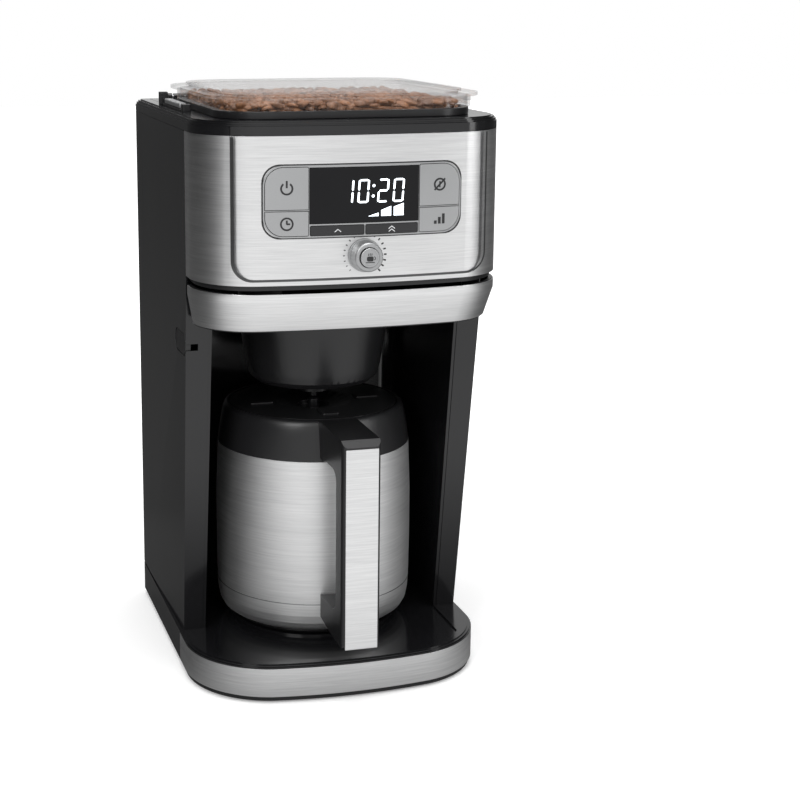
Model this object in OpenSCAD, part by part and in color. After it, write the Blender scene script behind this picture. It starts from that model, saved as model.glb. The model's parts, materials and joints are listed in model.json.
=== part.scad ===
// Drip coffee maker with a burr grinder, a swing-out brew basket and a thermal carafe.
// Millimetres. X is to the right, the front faces -Y, Z is up.
// The origin is under the middle of the part, on the surface it stands on.

/* [Overall] */
// Width of the housing
body_w = 210; // [200:1:220]
// Depth of the housing, without the dial
body_d = 259.5; // [250:0.5:270]
// How far the brew button stands out of the housing face
dial_out = 15; // [12:0.5:18]
// Top of the steel fascia
steel_top = 387; // [380:1:392]
// Underside of the steel fascia
steel_bottom = 291.4; // [288:0.2:296]
// Wall of the plastic mouldings
wall = 2.5; // [2:0.1:3]
// Thickness of the steel skins
skin = 0.8; // [0.6:0.1:1.2]

/* [Housing outline] */
// Radius of the slightly bulged housing face
nose_r = 528; // [400:10:700]
// Radius of the front corners of the housing
corner_r = 44; // [36:1:50]
// Distance the steel wraps back along each side
wrap_d = 58; // [54:1:62]
// Depth of the rear cover
rear_d = 33; // [28:1:38]

/* [Base] */
// Distance from the housing face back to the nose of the base
base_setback = 13.4; // [8:0.2:20]
// Radius of the nose of the base
base_nose_r = 340; // [280:10:420]
// Radius of the front corners of the base
base_corner_r = 62; // [50:1:70]
// Bottom edge of the steel base band
band_low = 4.6; // [4:0.2:6]
// Top edge of the steel base band
band_high = 25; // [22:0.5:28]
// Height of the rim of the tray
tray_top = 27.5; // [26.5:0.5:30]
// Height of the rubber feet below the bottom cover
foot_h = 1.6; // [1:0.2:3]
// Radius of the round rest under the carafe
rest_r = 60; // [58:1:64]

/* [Carafe bay] */
// Half width of the bay between its side walls
bay_half = 88.5; // [84:0.5:90]
// Distance from the carafe axis to the back wall of the bay
bay_back = 78; // [75:1:80]
// Front edge of the bay walls at the top, behind the housing face
pillar_top_y = 58; // [57:0.5:60]
// Front edge of the bay walls at the tray, behind the housing face
pillar_foot_y = 97.5; // [90:0.5:100]
// Inward lean of the side walls at the front foot
pillar_lean = 2.8; // [1:0.2:4]

/* [Controls] */
// Half width of the control bezel
bezel_half = 66; // [60:1:70]
// Bottom edge of the control bezel
bezel_low = 322.5; // [318:0.5:326]
// Top edge of the control bezel
bezel_high = 368.5; // [364:0.5:372]
// Half width of the display window
window_half = 36.3; // [32:0.1:40]
// Height of the dial axis
dial_z = 310; // [306:0.5:314]
// Radius of the dial
dial_r = 10.8; // [9:0.1:12]
// Radius of the brew button
brew_r = 6.3; // [5:0.1:7]
// Travel of the keys
key_travel = 0.8; // [0.5:0.1:1.2]

/* [Hopper] */
// Half width of the hopper collar
hopper_half = 87; // [84:0.5:90]
// Front of the hopper collar, behind the housing face
hopper_front = 18; // [16:0.5:22]
// Depth of the hopper collar
hopper_d = 182; // [170:1:186]
// Corner radius of the hopper collar
hopper_r = 34; // [26:1:40]
// Top of the hopper collar
hopper_top = 401; // [399:0.5:403]
// Overhang of the lid flange
flange_out = 6; // [4:0.5:8]
// Top of the hopper lid, the highest point
lid_top = 413; // [410:0.5:416]

/* [Brew basket] */
// Top edge of the steel basket band
door_top = 286; // [284:0.2:287]
// Bottom edge of the steel basket band
door_low = 259; // [256:0.5:262]
// How far the bottom edge of the band is set back at the nose
door_tuck = 11; // [6:0.5:14]
// How far the bottom edge of the band is set in at the sides
door_taper = 3.6; // [2:0.2:5]
// Hinge axis of the basket, to the right of the middle
hinge_x = 90; // [88:0.5:92]
// Hinge axis of the basket, behind the housing face
hinge_back = 44; // [40:1:46]
// Radius of the hinge pin
hinge_r = 2.5; // [2:0.1:3]
// Largest radius of the brew cup
cup_r = 54.5; // [52:0.5:56]
// Underside of the brew cup
cup_low = 199.5; // [198:0.5:202]

/* [Carafe] */
// Largest radius of the steel body
carafe_r = 71; // [68:0.5:72]
// Joint between the steel body and the collar
collar_low = 157.3; // [154:0.5:160]
// Top face of the carafe lid
carafe_top = 185.5; // [183:0.5:186]
// Radius of the lid
lid_r = 61; // [58:0.5:62]
// Half width of the handle
handle_half = 13.5; // [12:0.5:16]
// Half width of the steel handle inlay
inlay_half = 11.4; // [10:0.2:12]

/* [Hidden] */
$fn = 96;

eps = 0.01;
clear = 0.4;
// Stem of the brew button, and the thickness of the cap that stands ahead of the dial.
stem_r = 3;
cap_h = 0.8;
half_w = body_w / 2;
face_y = dial_out - (body_d + dial_out) / 2;
back_y = face_y + body_d;
wrap_y = face_y + wrap_d;
rear_y = back_y - rear_d;
base_y = face_y + base_setback;
floor_z = steel_bottom - 0.4;
deck_top = steel_top + 9;
panel_out = 1.8;
panel_half = 85;
pivot_y = face_y + hinge_back;
hopper_y = face_y + hopper_front;
burr_y = face_y + 75;
tank_front = bay_back + 10.5;
tank_back = back_y - 5.2;
tank_low = 120;
key_gap = 0.35;
// How far the corner arcs sit ahead of tangent, so that they cross the nose arc cleanly.
corner_lead = 0.1;
key_split_z = 339.9;
row_split_z = 330.6;
side_key_x = window_half + 0.7;
key_edge = bezel_half - 1.2;
button_y = face_y + 82;
button_z = 242;
hose_y = bay_back + 6.2;
hose_x = 60;
hose_r = 3.5;
lug_spots = [58.9, 77.7];
hose_bend = 8;
heater_z = 15;

// ---- shared outlines ----

// A plan outline with a bulged nose and round front corners, moved inward by inset.
module nose_plan(inset, half, nose, corner, y_nose, y_back, back_r = 9) {
    mid_y = y_nose + nose;
    reach = nose - corner;
    side_x = half - corner;
    turn = asin(side_x / reach);
    corner_y = mid_y - reach * cos(turn);
    disc_y = corner_y - corner_lead;
    y_end = y_back - inset;
    rear_r = max(back_r - inset, 1);
    front_y = y_nose - 5;
    front_x = side_x + (corner_y - front_y) * tan(turn);
    intersection() {
        translate([0, mid_y]) circle(r = nose - inset, $fn = 360);
        union() {
            polygon([[-side_x, corner_y], [-front_x, front_y], [front_x, front_y],
                     [side_x, corner_y]]);
            for (s = [-1, 1]) translate([s * side_x, disc_y]) circle(r = corner - inset);
            translate([inset - half, disc_y])
                square([2 * (half - inset), y_end - rear_r - disc_y]);
            translate([inset - half + rear_r, disc_y])
                square([2 * (half - inset - rear_r), y_end - disc_y]);
            for (s = [-1, 1]) translate([s * (half - inset - rear_r), y_end - rear_r])
                circle(r = rear_r);
        }
    }
}

module housing_plan(inset) nose_plan(inset, half_w, nose_r, corner_r, face_y, back_y);

module base_plan(inset) nose_plan(inset, half_w, base_nose_r, base_corner_r, base_y, back_y);

// The lower edge of the basket band, moved inward by inset.
module tuck_plan(inset)
    nose_plan(inset, half_w - door_taper, nose_r, corner_r - 3, face_y + door_tuck, back_y);

module slab(low, high) translate([0, 0, low]) linear_extrude(high - low) children();

// Everything in front of the line y.
module ahead_of(y) translate([-200, y - 400]) square([400, 400]);

module behind(y) translate([-200, y]) square([400, 400]);

// A rectangle with round corners from its low corner to its high corner.
module round_rect(x0, y0, x1, y1, r) {
    translate([x0 + r, y0]) square([x1 - x0 - 2 * r, y1 - y0]);
    translate([x0, y0 + r]) square([x1 - x0, y1 - y0 - 2 * r]);
    for (x = [x0 + r, x1 - r]) for (y = [y0 + r, y1 - r]) translate([x, y]) circle(r = r);
}

// Turns a drawing in X and Z into a bar along Y.
module bar_y(y0, y1) translate([0, y1, 0]) rotate([90, 0, 0]) linear_extrude(y1 - y0) children();

// Turns a drawing in Y and Z into a bar along X.
module bar_x(x0, x1)
    translate([x0, 0, 0]) rotate([90, 0, 90]) linear_extrude(x1 - x0) children();

module tube(r_out, r_in, low, high) slab(low, high) difference() {
    circle(r = r_out);
    circle(r = r_in);
}

// A layer of the bulged face between two insets, inside a drawing in X and Z.
module face_layer(outer, inner, low, high) intersection() {
    slab(low, high) difference() {
        housing_plan(outer);
        housing_plan(inner);
    }
    bar_y(face_y - 20, face_y + 40) children();
}

// ---- base ----

foot_spots = [[-72, -58], [72, -58], [-80, 112], [80, 112]];
screw_spots = [[-86, -20], [86, -20], [-60, 124], [60, 124]];

module base_shell() color("#161617") difference() {
    union() {
        slab(band_low, band_high) intersection() {
            base_plan(skin + 0.1);
            ahead_of(-20);
        }
        slab(band_low, band_high) intersection() {
            base_plan(0);
            behind(-22);
        }
        slab(band_high, band_high + 0.9) base_plan(0);
        slab(band_high, tray_top - 0.7) base_plan(1.1);
        slab(band_high, tray_top) base_plan(2.8);
    }
    slab(band_low - 1, band_high - 0.4) difference() {
        base_plan(3.4);
        for (p = screw_spots) translate(p) circle(r = 4);
    }
    slab(tray_top - 1.3, tray_top + 1) difference() {
        intersection() {
            base_plan(8);
            translate([-bay_half + 2, -200]) square([2 * bay_half - 4, 200 + bay_back]);
        }
        circle(r = rest_r);
    }
    slab(tray_top - 0.7, tray_top + 1) circle(r = rest_r - 9);
    for (p = screw_spots) translate([p[0], p[1], 0]) cylinder(r = 1.5, h = 18);
    for (s = [-1, 1]) translate([s * hose_x, hose_y, 0]) cylinder(r = 4.6, h = 40);
    translate([50, back_y, heater_z]) rotate([90, 0, 0]) cylinder(r = 6.6, h = 12, center = true);
}

module base_band() color("#c9cbcd") slab(band_low + 0.1, band_high - 0.1) intersection() {
    difference() {
        base_plan(0);
        base_plan(skin);
    }
    ahead_of(-22.2);
}

module bottom_cover() color("#1b1b1d") difference() {
    slab(foot_h, band_low - 0.1) base_plan(1.4);
    for (p = foot_spots) translate([p[0], p[1], 0]) cylinder(r = 4.2, h = 10);
    for (p = screw_spots) translate([p[0], p[1], 0]) {
        cylinder(r = 1.9, h = 10);
        cylinder(r = 3.6, h = foot_h + 1.4);
    }
    for (i = [-4:4]) slab(0, 10) round_rect(i * 9 - 2, 20, i * 9 + 2, 60, 1.9);
}

module rubber_feet() color("#2a2a2b") for (p = foot_spots) translate([p[0], p[1], 0]) {
    cylinder(r = 9, h = foot_h);
    cylinder(r = 4, h = foot_h + 3);
}

module base_screws() color("#9a9c9f") for (p = screw_spots) translate([p[0], p[1], 0]) {
    difference() {
        translate([0, 0, foot_h + 0.2]) cylinder(r = 3.2, h = 1.2);
        translate([-2, -0.4, 0]) cube([4, 0.8, foot_h + 0.9]);
    }
    translate([0, 0, foot_h + 1]) cylinder(r = 1.45, h = 13);
}

module cord_gland() color("#111112") translate([50, back_y, heater_z]) rotate([90, 0, 0])
    difference() {
        union() {
            cylinder(r = 6.5, h = 9);
            translate([0, 0, 3.6]) cylinder(r = 9, h = 3);
        }
        translate([0, 0, -1]) cylinder(r = 3.4, h = 12);
    }

// ---- body ----

// Front edge of the bay walls at the height z.
function pillar_y(z) =
    face_y + pillar_foot_y + (pillar_top_y - pillar_foot_y) * (z - tray_top) / (288 - tray_top);

// One lower side wall, a block between the leaning front edge and the rear cover.
module wall_block(x_in, x_out, y_cut) hull() {
    translate([x_in, rear_y - 1, tray_top]) cube([x_out - x_in, 1, 288 - tray_top]);
    translate([x_in, pillar_y(288) + y_cut, 287.5]) cube([x_out - x_in, 1, 0.5]);
    translate([x_in, pillar_y(tray_top) + y_cut, tray_top])
        cube([x_out - x_in - pillar_lean, 1, 0.5]);
}

// The right side panel. The left one is its mirror image.
module side_panel() difference() {
    union() {
        difference() {
            wall_block(bay_half + 0.2, half_w, 0);
            wall_block(bay_half - 5, half_w - wall, wall);
        }
        intersection() {
            slab(287.9, steel_top) difference() {
                housing_plan(0);
                housing_plan(wall);
            }
            translate([50, wrap_y, 200]) cube([100, rear_y - wrap_y - 0.2, 300]);
        }
    }
    translate([hinge_x, pivot_y, door_low - 4]) cylinder(r = 19.8, h = floor_z - door_low + 4);
}

module right_side_panel() color("#151516") side_panel();

module left_side_panel() color("#151516") difference() {
    mirror([1, 0, 0]) side_panel();
    bar_x(-half_w - 5, -half_w + 9) button_plan(0.35);
}

// Outline of the oval release button in the side wall, made larger by grow.
module button_plan(grow)
    round_rect(button_y - 17 - grow, button_z - 7.5 - grow, button_y + 17 + grow,
               button_z + 7.5 + grow, 7.4 + grow);

module bay_liner() color("#0e0e0f") difference() {
    slab(tray_top + 0.1, 287.8) difference() {
        round_rect(-bay_half - 0.1, -100, bay_half + 0.1, bay_back + 2, 14);
        round_rect(2 - bay_half, -120, bay_half - 2, bay_back, 12);
    }
    slope = (pillar_foot_y - pillar_top_y) / (288 - tray_top);
    translate([-150, pillar_y(tray_top) + 0.6, tray_top]) rotate([atan(slope), 0, 0])
        translate([0, -200, -60]) cube([300, 200, 400]);
    translate([hinge_x, pivot_y, door_low - 4]) cylinder(r = 19.8, h = 40);
}

module upper_housing() color("#141415") difference() {
    union() {
        slab(floor_z - 3, floor_z) intersection() {
            housing_plan(wall + 0.3);
            ahead_of(rear_y);
        }
        slab(floor_z - eps, steel_top) difference() {
            intersection() {
                union() {
                    intersection() {
                        housing_plan(skin + 0.1);
                        ahead_of(wrap_y - 0.2);
                    }
                    housing_plan(wall + 0.1);
                }
                ahead_of(rear_y);
            }
            housing_plan(2 * wall);
            translate([-95, 60]) square([190, 60]);
        }
        translate([hinge_x, pivot_y, floor_z - eps]) cylinder(r = 7, h = 10);
    }
    translate([hinge_x, pivot_y, 200]) cylinder(r = hinge_r, h = 300);
    slab(200, 300) translate([-10, burr_y + 29.5]) square([20, 16.5]);
    translate([0, 22, 200]) cylinder(r = 6.4, h = 150);
    translate([hose_x, hose_y, 200]) cylinder(r = 4.6, h = 150);
    slab(200, 300) translate([-93.4, tank_front - 0.4]) square([186.8, 60]);
    bar_y(face_y - 10, face_y + 12) union() {
        key_field();
        translate([0, dial_z]) circle(r = 8.4);
    }
}

module rear_cover() color("#171718") difference() {
    slab(tray_top + 0.1, steel_top) intersection() {
        housing_plan(0);
        behind(rear_y);
    }
    slab(tray_top + wall, steel_top + 1) housing_plan(wall);
    for (i = [-6:6]) bar_y(back_y - 5, back_y + 5)
        round_rect(i * 11 - 1.6, 60, i * 11 + 1.6, 96, 1.5);
}

module steel_fascia() color("#cbcdcf") difference() {
    union() {
        slab(steel_bottom, steel_top) intersection() {
            difference() {
                housing_plan(0);
                housing_plan(skin);
            }
            ahead_of(wrap_y);
        }
        face_layer(-panel_out / 2, skin / 2, steel_bottom + 3.6, steel_top)
            panel_plan(0);
        face_layer(-panel_out, skin / 2, steel_bottom + 4.4, steel_top) panel_plan(-0.9);
    }
    bar_y(face_y - 10, face_y + 12) union() {
        key_field();
        translate([0, dial_z]) circle(r = 8.2);
    }
}

// The opening behind the bezel that takes the keys and the window.
module key_field() round_rect(-key_edge - key_gap, bezel_low + 1.2 - key_gap,
                              key_edge + key_gap, bezel_high - 1.2 + key_gap, 11);

// The raised middle panel of the fascia seen from the front, grown by grow.
module panel_plan(grow) round_rect(-panel_half - grow, steel_bottom + 3.6 - grow,
                                   panel_half + grow, steel_top + 60, 13);

module top_deck() color("#1a1a1b") difference() {
    union() {
        slab(steel_top + 0.2, deck_top - 3.6) housing_plan(0);
        slab(steel_top + 0.2, deck_top - 2) housing_plan(0.7);
        slab(steel_top + 0.2, deck_top - 0.8) housing_plan(1.9);
        slab(steel_top + 0.2, deck_top) housing_plan(3.8);
        slab(steel_top + 0.2, deck_top - 3) intersection() {
            housing_plan(-panel_out);
            translate([-panel_half, face_y - 10]) square([2 * panel_half, 40]);
        }
        for (s = [-1, 1]) for (x = lug_spots)
            translate([s * x - 1.5, 0, 0]) bar_x(0, 3) hinge_lug();
    }
    slab(steel_top - 1, deck_top - wall) housing_plan(wall + 0.6);
    slab(steel_top, deck_top + 1) hopper_plan(-2.6);
    slab(steel_top, deck_top + 1)
        round_rect(-94.3, tank_front - 2, 94.3, back_y - 4.6, 5);
    for (s = [-1, 1]) translate([s * 68.3 - 7.6, back_y - 8, deck_top - 2.4]) cube([15.2, 7, 9]);
    for (s = [-1, 1]) translate([s * 68.3, back_y - 4, deck_top + 1.2]) rotate([0, 90, 0])
        cylinder(r = 1.2, h = 24, center = true);
}

module hinge_lug() {
    translate([back_y - 4, deck_top + 1.2]) circle(r = 2.6);
    translate([back_y - 6.6, deck_top - wall + eps]) square([5.2, wall + 1.2]);
}

// ---- hopper and lid ----

// Plan of the hopper collar, grown by grow.
module hopper_plan(grow) round_rect(-hopper_half - grow, hopper_y - grow, hopper_half + grow,
                                    hopper_y + hopper_d + grow, hopper_r + grow);

module hopper() color("#1b1b1c") difference() {
    union() {
        slab(deck_top + 0.1, hopper_top) hopper_plan(0);
        slab(372, hopper_top) hopper_plan(-3);
        translate([0, burr_y, 353]) cylinder(r1 = 20, r2 = 32, h = 19.5);
    }
    slab(374.2, hopper_top + 1) hopper_plan(-5.2);
    translate([0, burr_y, 352]) cylinder(r1 = 17.4, r2 = 31.4, h = 22.7);
}

module hopper_lid() color([0.85, 0.87, 0.88, 0.45]) difference() {
    union() {
        slab(hopper_top + 0.4, lid_top - 3) hopper_plan(1.4);
        slab(lid_top - 4.4, lid_top - 2.2) hopper_plan(flange_out);
        slab(lid_top - 4, lid_top) hopper_plan(-5);
    }
    slab(hopper_top, lid_top - 4.2) hopper_plan(-0.6);
    slab(hopper_top, lid_top - 1.8) hopper_plan(-6.8);
}

module bean_charge() color("#6b4630") {
    slab(374.4, 406.8) hopper_plan(-7.4);
}

module latch_rail() color("#0f0f10") {
    slab(deck_top, deck_top + 1.4) round_rect(-97.5, -14, -91.5, 56, 1.5);
    slab(deck_top, deck_top + 9) round_rect(-98.5, 60, -92.5, 66, 1);
    slab(deck_top, deck_top + 5) round_rect(-97.5, -20.5, -91.5, -14.5, 1);
}

module latch_slider() color("#808284") difference() {
    slab(deck_top + 1.8, deck_top + 5) round_rect(-97, -6, -92, 50, 1.2);
    for (i = [0:12])
        translate([-98, -2 + 4 * i, deck_top + 4.2]) cube([7, 1.6, 2]);
}

// ---- controls ----

module control_bezel() color("#b4b6b8") difference() {
    face_layer(-panel_out - 0.9, -panel_out - 0.05, bezel_low, bezel_high)
        round_rect(-bezel_half, bezel_low, bezel_half, bezel_high, 13);
    bar_y(face_y - 20, face_y + 20) union() {
        translate([-window_half - 0.2, row_split_z + 0.4])
            square([2 * window_half + 0.4, bezel_high - row_split_z - 1.8]);
        for (k = [[0, 1], [1, 1], [0, 0], [1, 0]]) side_key_plan(k[0], k[1], key_gap);
        for (s = [0, 1]) row_key_plan(s, key_gap);
    }
}

// Face of a side key: side 0 is left and 1 is right, row 1 is the upper row.
module side_key_plan(side, row, grow) mirror([side, 0, 0]) intersection() {
    round_rect(-key_edge - grow, bezel_low + 1.2 - grow, -side_key_x + grow,
               bezel_high - 1.2 + grow, 1 + grow);
    round_rect(-key_edge - grow, bezel_low + 1.2 - grow, 0, bezel_high - 1.2 + grow,
               11.8 + grow);
    z0 = row == 1 ? key_split_z + 0.6 : bezel_low;
    z1 = row == 1 ? bezel_high : key_split_z - 0.6;
    translate([-key_edge - 5, z0 - grow]) square([60, z1 - z0 + 2 * grow]);
}

// Face of an hour or minute key: side 0 is left and 1 is right.
module row_key_plan(side, grow) mirror([side, 0, 0])
    round_rect(-window_half + 0.5 - grow, bezel_low + 1.2 - grow, -0.6 + grow,
               row_split_z - 0.8 + grow, 0.8 + grow);

module key_block() face_layer(-panel_out - 1.2, 3, bezel_low - 1, bezel_high + 1) children();

module power_key() color("#a4a6a8") key_block() side_key_plan(0, 1, 0);
module program_key() color("#a4a6a8") key_block() side_key_plan(0, 0, 0);
module grinder_off_key() color("#a4a6a8") key_block() side_key_plan(1, 1, 0);
module strength_key() color("#a4a6a8") key_block() side_key_plan(1, 0, 0);
module hour_key() color("#2c2c2e") key_block() row_key_plan(0, 0);
module minute_key() color("#2c2c2e") key_block() row_key_plan(1, 0);

module display_window() color("#0b0c0d")
    face_layer(-panel_out - 0.7, 0.6, bezel_low, bezel_high)
        translate([-window_half, row_split_z + 0.6])
            square([2 * window_half, bezel_high - row_split_z - 2.2]);

module display_module() color("#26312b")
    translate([-33, face_y + 3.4, 334]) cube([66, 7, 30]);

module control_board() color("#1f4a33") difference() {
    bar_y(face_y + 12.2, face_y + 13.8) round_rect(-64, 300, 64, 368, 3);
    translate([0, face_y, dial_z]) rotate([-90, 0, 0]) cylinder(r = 6.8, h = 30);
}

module grind_dial() color("#b9bbbd") translate([0, face_y, dial_z]) rotate([90, 0, 0])
    difference() {
        union() {
            translate([0, 0, 2.3]) cylinder(r = dial_r, h = 1.8);
            translate([0, 0, 4]) cylinder(r1 = dial_r - 0.6, r2 = dial_r - 1.4, h = 8.4);
            translate([0, 0, 12.4]) cylinder(r1 = dial_r - 1.4, r2 = dial_r - 2.2, h = 0.8);
            translate([0, 0, -6]) cylinder(r = 7.8, h = 8.4);
        }
        translate([0, 0, -10]) cylinder(r = brew_r + clear, h = 30);
        translate([dial_r - 2.4, -0.5, 11.4]) cube([4, 1, 4]);
    }

module dial_encoder() color("#2b2b2d") translate([0, face_y, dial_z]) rotate([-90, 0, 0])
    difference() {
        translate([0, 0, 6.4]) cylinder(r = 11, h = 5.7);
        translate([0, 0, 5]) cylinder(r = brew_r + 0.6, h = 10);
    }

module brew_button() color("#a9abad") translate([0, face_y, dial_z]) rotate([90, 0, 0])
    difference() {
        union() {
            translate([0, 0, -10]) cylinder(r = stem_r, h = 10 + dial_out - 0.5);
            translate([0, 0, dial_out - cap_h]) cylinder(r = brew_r, h = cap_h / 2);
            translate([0, 0, dial_out - cap_h / 2])
                cylinder(r1 = brew_r, r2 = brew_r - cap_h / 2, h = cap_h / 2);
        }
        translate([0, 0, dial_out - 0.3]) cylinder(r = 4.9, h = 1);
    }

// ---- water system ----

module reservoir() color([0.3, 0.31, 0.33, 0.7]) difference() {
    union() {
        slab(tank_low, steel_top) round_rect(-93, tank_front, 93, tank_back, 6);
        translate([-hose_x, 110, tank_low - 5]) cylinder(r = 6, h = 6);
    }
    slab(tank_low + 2.4, steel_top + 1)
        round_rect(-90.6, tank_front + 2.4, 90.6, tank_back - 2.4, 4);
    translate([-hose_x, 110, tank_low - 6]) cylinder(r = 4, h = 10);
}

module reservoir_lid() color("#1a1a1b") difference() {
    union() {
        slab(deck_top - 2.3, deck_top) round_rect(-93.8, tank_front - 1.5, 93.8, back_y - 5.2, 4.6);
        for (s = [-1, 1]) bar_x(s * 68.3 - 6.8, s * 68.3 + 6.8) {
            translate([back_y - 4, deck_top + 1.2]) circle(r = 2.4);
            translate([back_y - 7.4, deck_top - 1]) square([3.4, 3.2]);
        }
        translate([-18, tank_front + 1, deck_top - eps]) cube([36, 3, 1.2]);
    }
    for (s = [-1, 1]) translate([s * 68.3, back_y - 4, deck_top + 1.2]) rotate([0, 90, 0])
        cylinder(r = 1.25, h = 24, center = true);
    for (x = lug_spots) for (s = [-1, 1])
        translate([s * x, back_y - 4, deck_top + 1.2]) rotate([0, 90, 0])
            cylinder(r = 3.4, h = 4, center = true);
}

module reservoir_hinge_pins() color("#8d8f92")
    for (s = [-1, 1]) translate([s * 68.3, back_y - 4, deck_top + 1.2]) rotate([0, 90, 0])
        cylinder(r = 1.18, h = 21, center = true);

module water_filter_holder() color("#d8d8d2") translate([20, 110, tank_low + 2.5]) {
    tube(13, 11, 0, 26);
    cylinder(r = 13, h = 2);
}

module check_valve() color("#cfd2d4") translate([-hose_x, 110, 0]) difference() {
    slab(tank_low - 16, tank_low - 5.1) circle(r = 6);
    slab(tank_low - 12, tank_low) circle(r = 3);
}

// A hose that rises from low to high, bends once and runs level for run in the direction turn.
module bent_hose(low, high, turn, run) {
    slab(low, high - hose_bend) circle(r = hose_r);
    rotate([0, 0, turn]) translate([hose_bend, 0, high - hose_bend]) {
        rotate([90, 0, 0]) rotate([0, 0, 90]) rotate_extrude(angle = 90)
            translate([hose_bend, 0]) circle(r = hose_r);
        translate([0, 0, hose_bend]) rotate([0, 90, 0]) cylinder(r = hose_r, h = run - hose_bend);
    }
}

module supply_hose() color("#b8babb") translate([-hose_x, hose_y, 0])
    bent_hose(heater_z + 6.1, tank_low - 11, 90, 110 - 6.1 - hose_y);

module heater_tube() color("#a7a9ab") {
    translate([0, 20, heater_z]) rotate([0, 0, 180]) rotate_extrude(angle = 180)
        translate([hose_x, 0]) circle(r = 6);
    for (s = [-1, 1]) translate([s * hose_x, 20 - eps, heater_z]) rotate([-90, 0, 0])
        cylinder(r = 6, h = hose_y + 6 - 20);
}

module riser_hose() color("#b8babb") {
    run = [-hose_x, 22 - hose_y];
    translate([hose_x, hose_y, 0])
        bent_hose(heater_z + 6.1, 302, atan2(run[1], run[0]), norm(run) - 6.3);
}

module shower_head() color("#2e2f31") translate([0, 22, 0]) difference() {
    union() {
        slab(284.4, 287.6) circle(r = 19);
        slab(287, 308) circle(r = 6.1);
    }
    slab(285.6, 286.8) circle(r = 17.4);
    slab(286, 306) circle(r = 4);
    for (i = [0:11]) rotate([0, 0, 30 * i]) translate([12, 0, 280]) cylinder(r = 0.8, h = 6);
}

// ---- grinder ----

module grind_chamber() color("#3a3a3c") translate([0, burr_y, 0]) difference() {
    union() {
        slab(334.6, 352.6) circle(r = 31);
        slab(287, 348) translate([-9.6, 29.8]) square([19.2, 16]);
    }
    slab(337, 353) circle(r = 28);
    slab(280, 346) translate([-7.6, 31.8]) square([15.2, 12]);
    slab(337.4, 346) translate([-7.6, 20]) square([15.2, 15]);
    slab(330, 340) circle(r = 3.4);
}

module upper_burr() color("#8f9194") translate([0, burr_y, 0]) difference() {
    slab(346.6, 352.5) circle(r = 27.9);
    translate([0, 0, 346.5]) cylinder(r1 = 19, r2 = 16.6, h = 6.2);
    for (i = [0:17]) rotate([0, 0, 20 * i]) translate([17, -0.8, 346]) cube([9, 1.6, 2]);
}

module lower_burr() color("#8f9194") translate([0, burr_y, 0]) {
    difference() {
        union() {
            slab(338.2, 345) circle(r = 26);
            translate([0, 0, 345 - eps]) cylinder(r1 = 15.6, r2 = 6, h = 12);
        }
        for (i = [0:17]) rotate([0, 0, 20 * i]) translate([16.4, -0.8, 343.6]) cube([12, 1.6, 3]);
    }
    slab(330, 339) circle(r = 3);
}

module grinder_motor() color("#6f7275") translate([0, burr_y, 0]) difference() {
    union() {
        slab(floor_z + 0.1, 334.4) circle(r = 28);
        for (a = [0, 120, 240]) rotate([0, 0, a + 90]) translate([0, 0, floor_z + 0.1])
            linear_extrude(3) translate([24, -5]) square([a == 0 ? 4 : 10, 10]);
    }
    slab(328, 335) circle(r = 3.4);
    for (i = [0:11]) rotate([0, 0, 30 * i + 15]) translate([26.6, -3, 300]) cube([3, 6, 22]);
}

// ---- swing-out basket ----

// The tapered plan of the basket door from its top edge to its bottom edge.
module door_block(inset) hull() {
    slab(door_top - 6, door_top) intersection() {
        housing_plan(inset, $fn = 72);
        ahead_of(wrap_y - 3);
    }
    slab(door_low, door_low + 1.2) intersection() {
        tuck_plan(inset, $fn = 72);
        ahead_of(wrap_y - 3);
    }
}

module basket_band() color("#cbcdcf") difference() {
    door_block(0);
    translate([0, 0, -eps]) door_block(skin);
    slab(door_top - 0.1, door_top + 5) ahead_of(0);
    slab(door_low - 5, door_low + 0.8) ahead_of(0);
    slab(door_low - 5, door_top + 5) behind(wrap_y - 3.6);
}

module basket_holder() color("#17171a") difference() {
    union() {
        difference() {
            door_block(skin + 0.1);
            translate([0, 0, wall]) door_block(skin + wall);
        }
        cup_solid();
        slab(door_low, door_low + wall) intersection() {
            translate([-40, wrap_y - 20]) square([80, 60]);
            ahead_of(-30);
        }
        slab(door_low, door_top - 3) for (x = [-34, 31]) translate([x, wrap_y - 42]) square([3, 66]);
        translate([hinge_x, pivot_y, door_low + 1]) cylinder(r = 6, h = door_top - door_low - 1);
    }
    cup_hollow();
    slab(door_top - 2.2, door_top + 1) ahead_of(wrap_y - 45);
    translate([hinge_x, pivot_y, door_low + 3]) cylinder(r = hinge_r + 0.06, h = 60);
    translate([0, 0, cup_low - 20]) cylinder(r = 3.6, h = 60);
    slab(door_low - 1, door_top + 1) difference() {
        behind(wrap_y - 4);
        circle(r = cup_r + 6);
        translate([-45, wrap_y - 20]) square([90, 60]);
    }
}

module cup_solid() rotate_extrude() polygon([
    [0, cup_low], [11, cup_low - 6], [12.5, cup_low - 6], [12.5, cup_low], [42, cup_low + 3],
    [46.4, cup_low + 7], [48.4, cup_low + 14], [cup_r - 0.8, cup_low + 46], [cup_r, door_top - 2.6],
    [0, door_top - 2.6]]);

module cup_hollow() {
    rotate_extrude() polygon([
        [0, cup_low + 2.4], [41, cup_low + 5.2], [44.4, cup_low + 8.2], [46.2, cup_low + 15],
        [cup_r - 3, cup_low + 46], [cup_r - 2.2, door_top], [0, door_top]]);
    translate([0, 0, cup_low - 7]) cylinder(r = 9.6, h = 8);
}

module basket_hinge_pin() color("#8d8f92") translate([hinge_x, pivot_y, door_low + 3.6])
    cylinder(r = hinge_r, h = 40);

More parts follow.
